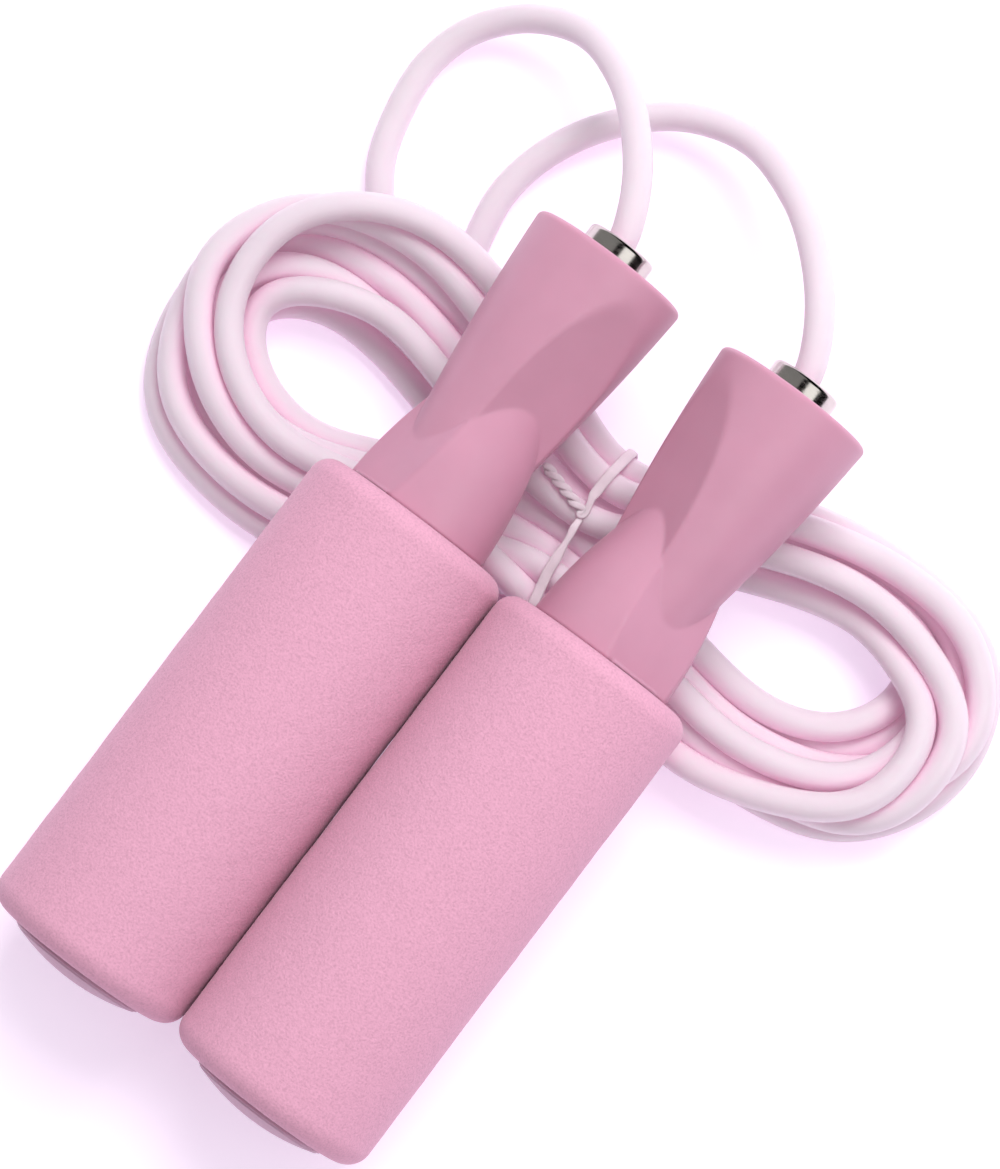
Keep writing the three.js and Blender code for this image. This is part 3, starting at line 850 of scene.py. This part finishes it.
def inner_ring(name):
    """The ring that stays with the rope, inside the balls."""
    edge = 0.15 * MM
    top = RACE_TOP_Y - 0.3 * MM
    profile = [
        *corner(RING_BORE_R + edge, RACE_BOTTOM_Y + edge, edge, 180, 270, 3),
        *corner(RING_R - edge, RACE_BOTTOM_Y + edge, edge, 270, 360, 3),
        *raceway(RING_R, -1),
        *corner(RING_R - edge, top - edge, edge, 0, 90, 3),
        *corner(RING_BORE_R + edge, top - edge, edge, 90, 180, 3),
    ]
    return grid_object(f"{name}_ring", around(profile, 144), profile_closed=True)


def finish_piece(piece, name, body, node, surface):
    """Puts a piece that was made in a handle's own frame in its place, with its looks."""
    piece.data.transform(handle_matrix(name))
    piece.data.materials.append(surface)
    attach(piece, body)
    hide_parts(node)
    return piece


def dress(node, surface):
    """Gives a CAD node that stays a better material."""
    bpy.data.objects[node].data.materials[0] = surface


for number, side in enumerate(SIDES):
    finish_piece(handle_body(side), side, f"{side}_handle", f"{side}_handle_body",
                 HANDLE_PLASTIC)
    foam = finish_piece(foam_grip(side, 10 * number + 3), side, f"{side}_handle",
                        f"{side}_foam_grip", FOAM)
    finish_piece(end_cap(side), side, f"{side}_cap", f"{side}_end_cap", CAP_PLASTIC)
    finish_piece(outer_race(side), side, f"{side}_handle", f"{side}_bearing_outer_race",
                 NICKEL)
    finish_piece(inner_ring(side), side, "rope", f"{side}_bearing_inner_ring", STEEL)
    dress(f"{side}_ball_cage", NYLON)
    dress(f"{side}_stop_washer", STEEL)
    dress(f"{side}_rope_ferrule", STEEL)
    for ball in range(1, BALLS + 1):
        dress(f"{side}_ball_{ball}", STEEL)


# ---------- Twist tie ----------
# The tie goes once round the hank between the handles, and its ends are twisted together into a
# tail that points away to the left.
KNOT = (0.0004, 0.0372, 0.0142)
TAIL_TIP = (-0.0089, 0.0397, 0.0150)
TIE_STEP = 0.25 * MM
# The tie's sideways position on top of the hank, from its far edge to its near one: (y, x).
TIE_LINE = [
    (0.0500, 0.0006), (0.0434, 0.0004), (0.0376, 0.0004), (0.0326, 0.0014), (0.0259, 0.0021),
    (0.0200, 0.0034),
]


def tie_wrap():
    """The tie's middle line round the hank, from the knot over the far edge, under the hank and
    up over the near edge, back to the knot, with the outward direction at each point."""
    reach = ROPE_R + TIE_THICKNESS / 2
    beside = 3 * MM
    held = ROPE_ROUTE[IN_HANK & (np.abs(ROPE_ROUTE[:, 0] - TIE_X) < beside)][:, 1:]
    wrap, outward = [], []
    for turn in np.radians(np.arange(0, 360, 0.5)):
        # turn is 0 straight up, and grows towards the far side.
        toward = np.array([math.sin(turn), math.cos(turn)])
        touched = held[(held @ toward).argmax()]
        wrap.append(touched + toward * reach)
        outward.append(toward)
    wrap, outward = np.array(wrap), np.array(outward)
    wrap = np.vstack([wrap, wrap[:1]])
    outward = np.vstack([outward, outward[:1]])
    along = length_along(wrap)
    at = np.linspace(0, along[-1], round(along[-1] / TIE_STEP) + 1)
    y, z = (np.interp(at, along, wrap[:, k]) for k in (0, 1))
    out_y, out_z = (np.interp(at, along, outward[:, k]) for k in (0, 1))
    sideways = np.array(sorted(TIE_LINE))
    x = np.interp(y, sideways[:, 0], sideways[:, 1])
    middle = np.stack([x, y, z], axis=1)[:-1]
    out = np.stack([np.zeros(len(x)), out_y, out_z], axis=1)[:-1]
    on_top = middle[:, 2] > middle[:, 2].mean()
    start = np.where(on_top, np.abs(middle[:, 1] - KNOT[1]), 1).argmin()
    return np.roll(middle, -start, axis=0), np.roll(out, -start, axis=0)


def tail_strand(phase):
    """One of the two strands of the tail, from the knot to the tip."""
    start, end = Vector(KNOT), Vector(TAIL_TIP)
    pitch, radius, sway = 4.2 * MM, 0.48 * MM, 0.35 * MM
    length = (end - start).length
    along = (end - start).normalized()
    side = along.cross(Vector((0, 0, 1))).normalized()
    up = side.cross(along)
    strand = []
    count = round(length / TIE_STEP)
    for i in range(count + 1):
        share = i / count
        angle = phase + 2 * math.pi * share * length / pitch
        middle = start + (end - start) * share + Vector((0, 0, sway * math.sin(share * 5)))
        strand.append(middle + (side * math.cos(angle) + up * math.sin(angle)) * radius)
    return np.array(strand)


# Where the tie's two ends run through the knot, one hooked over the other.
HOOK = [(0.0003, 0.0364, 0.0144), (0.0011, 0.0368, 0.0141)]
UNDER = [(0.0007, 0.0370, 0.0134)]
# Just before the knot the tie turns on edge for a little way.
ON_EDGE_Y = 31.8 * MM
ON_EDGE_REACH = 2.2 * MM


def twist_tie():
    """The whole tie: one strand of the tail, the wrap round the hank and the other strand."""
    wrap, out = tie_wrap()
    clear = 12  # points of the wrap that give way to the knot at each end
    narrow, wide, thick = 1.15 * MM, 1.8 * MM, 0.9 * MM
    narrower_on_edge, thicker_on_edge = 0.75 * MM, 0.3 * MM
    up = np.array([0, 0, 1.0])
    first = tail_strand(0)[::-1]
    last = tail_strand(math.pi)
    hook = smooth_line([first[-1], *HOOK, wrap[clear]], TIE_STEP)[1:-1]
    under = smooth_line([wrap[-clear], *UNDER, last[0]], TIE_STEP)[1:-1]
    middle = wrap[clear:-clear + 1]
    path = np.vstack([first, hook, middle, under, last])
    before = len(first) + len(hook)
    after = len(under) + len(last)
    facing = np.vstack([np.tile(up, (before, 1)), out[clear:-clear + 1], np.tile(up, (after, 1))])
    second_half = np.arange(len(middle)) > len(middle) / 2
    on_top = middle[:, 2] > TIE_TOP_Z
    edge = np.exp(-((middle[:, 1] - ON_EDGE_Y) / ON_EDGE_REACH) ** 2) * second_half * on_top
    strap = slice(before, before + len(middle))
    width = np.full(len(path), narrow)
    width[strap] = wide - edge * narrower_on_edge
    thickness = np.full(len(path), thick)
    thickness[strap] = TIE_THICKNESS + edge * thicker_on_edge
    return sweep("twist_tie_piece", path, facing, even(width, 8), even(thickness, 8))


def even(values, times):
    """A run of numbers or points with its steps smoothed out."""
    for _ in range(times):
        values = np.concatenate([
            values[:1], (values[:-2] + 2 * values[1:-1] + values[2:]) / 4, values[-1:],
        ])
    return values


def sweep(name, path, facing, width, thickness):
    """A flattened tube along a path, with rounded ends. facing is the way its flat side looks."""
    sides = 20
    square = 0.75  # a superellipse, a little squarer than an ellipse
    bulge = 0.45  # how far an end is rounded, as a share of the thickness
    path = even(path, 3)
    ahead = np.gradient(path, axis=0)
    ahead /= np.linalg.norm(ahead, axis=1)[:, None]
    side = np.cross(ahead, even(facing, 8))
    side /= np.linalg.norm(side, axis=1)[:, None]
    normal = np.cross(side, ahead)
    turn = full_turn(sides)
    flat = np.sign(np.cos(turn)) * np.abs(np.cos(turn)) ** square
    rise = np.sign(np.sin(turn)) * np.abs(np.sin(turn)) ** square
    grid = (
        path[:, None]
        + side[:, None] * flat[None, :, None] * width[:, None, None] / 2
        + normal[:, None] * rise[None, :, None] * thickness[:, None, None] / 2
    )
    caps = []
    for end, way in ((0, -1), (-1, 1)):
        rings = []
        for share in (0.5, 0.8, 1.0):
            reach = math.sqrt(1 - share * share)
            push = ahead[end] * way * share * thickness[end] * bulge
            rings.append(path[end] + (grid[end] - path[end]) * reach + push)
        caps.append(rings)
    grid = np.array([*caps[0][::-1], *grid, *caps[1]])
    return grid_object(name, grid, profile_closed=False)


# ---------- What the rope and its tie are ----------
rope.data.materials.append(ROPE_PVC)
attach(rope, "rope")
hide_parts("rope_hank", "left_rope_lead", "right_rope_lead")
tie = twist_tie()
tie.data.materials.append(TIE)
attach(tie, "rope")
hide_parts("twist_tie_loop", "twist_tie_tail")
tuple(rope_mouth("left"))


# ---------- Floor, lights and background ----------
LIT_POINT = Vector((0, 0.02, 0))


def floor():
    reach, gap = 3.0, 0.05 * MM
    z = min(CAD_LOW[2], 0.0) - gap
    piece = mesh_object("floor", [
        (-reach, -reach, z), (reach, -reach, z), (reach, reach, z), (-reach, reach, z),
    ], [(0, 1, 2, 3)], smooth=False)
    made, tree, shader = material("floor", (0.76, 0.67, 0.75), 0.9)
    shader.inputs["Specular IOR Level"].default_value = 0.1
    shader.inputs["Emission Color"].default_value = (0.90, 0.82, 1, 1)
    shader.inputs["Emission Strength"].default_value = 0.46
    piece.data.materials.append(made)


def area_light(name, place, size, power):
    """A square lamp that looks at the middle of the object."""
    data = bpy.data.lights.new(name, "AREA")
    data.energy = power
    data.size = size
    lamp = bpy.data.objects.new(name, data)
    bpy.context.scene.collection.objects.link(lamp)
    lamp.location = place
    lamp.rotation_euler = (LIT_POINT - Vector(place)).to_track_quat("-Z", "Y").to_euler()
    return lamp


def background():
    """Light from all round that the metal doesn't mirror."""
    world = bpy.data.worlds.new("world")
    world.use_nodes = True
    shade = world.node_tree.nodes["Background"]
    shade.inputs["Color"].default_value = (1, 0.97, 1, 1)
    shade.inputs["Strength"].default_value = 0.5
    world.cycles_visibility.glossy = False
    bpy.context.scene.world = world


floor()
background()
# The main light isn't mirrored in the metal, the softbox is, and the room is only mirrored.
overhead = area_light("overhead", (-0.05, 0.66, 1.08), 0.7, 14)
overhead.visible_glossy = False
area_light("softbox", (0.55, 0.0, 0.85), 0.7, 2.2)
room = area_light("room", (-1.0, 0.3, 0.9), 2.4, 5)
room.visible_diffuse = False
bpy.context.scene.view_settings.view_transform = "Standard"
